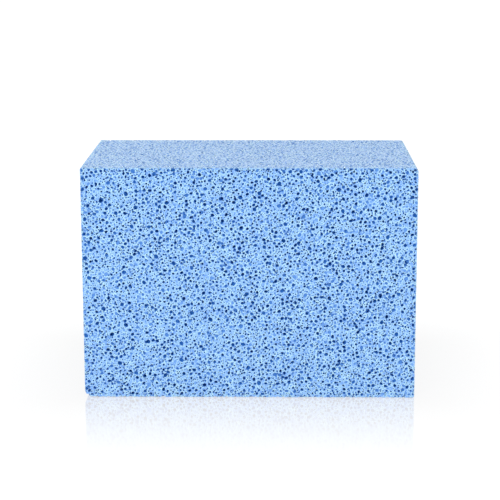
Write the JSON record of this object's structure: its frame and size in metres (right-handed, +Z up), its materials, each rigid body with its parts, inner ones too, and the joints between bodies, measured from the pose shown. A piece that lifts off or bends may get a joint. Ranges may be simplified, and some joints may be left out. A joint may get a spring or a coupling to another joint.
{
  "type": "grouting sponge",
  "caption": "Rectangular block of open-cell foam with lightly rounded edges, held bare in the hand to wipe wet grout off tiles.",
  "frame": {"origin": "centre of the long narrow face that the block stands on", "axes": "+X along the length, +Y through the thickness from the front wiping face to the back one, +Z up, along the width of the wiping faces"},
  "size_m": [0.16, 0.09, 0.113],
  "materials": {
    "foam": "soft light-blue open-cell polyurethane foam, fully matte, with pores of mixed size and paler struts between them"
  },
  "bodies": {
    "root": {"foam_block": "foam"}
  },
  "joints": []
}
